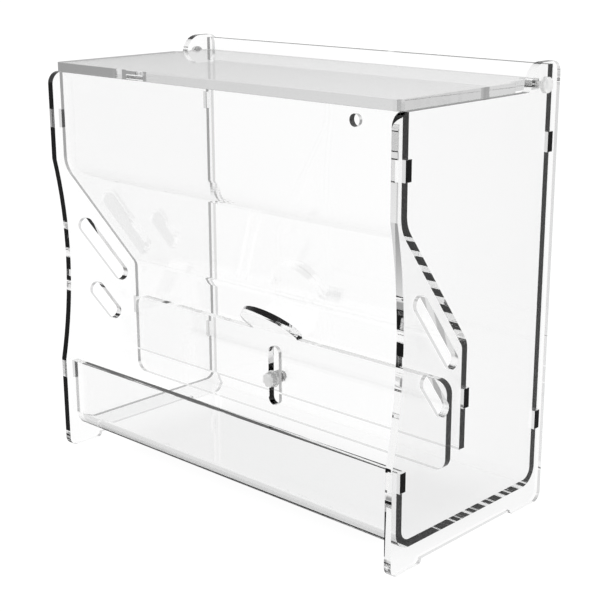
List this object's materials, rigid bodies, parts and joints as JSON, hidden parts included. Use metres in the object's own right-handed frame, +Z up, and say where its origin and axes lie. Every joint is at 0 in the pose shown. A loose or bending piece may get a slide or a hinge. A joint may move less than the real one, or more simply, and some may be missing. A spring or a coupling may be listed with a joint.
{
  "type": "gravity-feed dispenser bin",
  "caption": "Clear tab-and-slot hopper bin with a hinged lid, a sloping chute, a sliding gate clamped by a thumbscrew and an open front tray.",
  "frame": {"origin": "middle of the rectangle that the four feet stand on, at floor level", "axes": "+X to the right of a person who faces the outlet, +Y to the back sheet, +Z up"},
  "size_m": [0.3066, 0.15, 0.28],
  "materials": {
    "panel_acrylic": "clear polished sheet with flame-polished edges",
    "lid_acrylic": "clear polished sheet, slightly greyer where its top reflects",
    "clear_fitting": "clear moulded plastic"
  },
  "bodies": {
    "body": {"side_panel_right": "panel_acrylic", "side_panel_left": "panel_acrylic", "chute_panel": "panel_acrylic", "tray_panel": "panel_acrylic", "gate_sleeve": "clear_fitting", "gate_nut": "clear_fitting"},
    "lid_unit": {"lid": "lid_acrylic", "hinge_pin_right": "clear_fitting", "hinge_pin_left": "clear_fitting"},
    "gate": {"gate_plate": "panel_acrylic"},
    "screw": {"gate_thumbscrew": "clear_fitting", "gate_washer": "clear_fitting"}
  },
  "joints": [
    {"name": "lid_hinge", "type": "hinge", "parent": "body", "child": "lid_unit", "pos_m": [0, 0.0585, 0.2669], "axis": [-1, 0, 0], "range_deg": [0, 105]},
    {"name": "gate_slide", "type": "slide", "parent": "body", "child": "gate", "axis": [0, 0, 1], "range_m": [-0.0173, 0.0137]},
    {"name": "screw_turn", "type": "hinge", "parent": "body", "child": "screw", "pos_m": [0, -0.0105, 0.07], "axis": [0, -1, 0], "range_deg": [0, 360]}
  ]
}
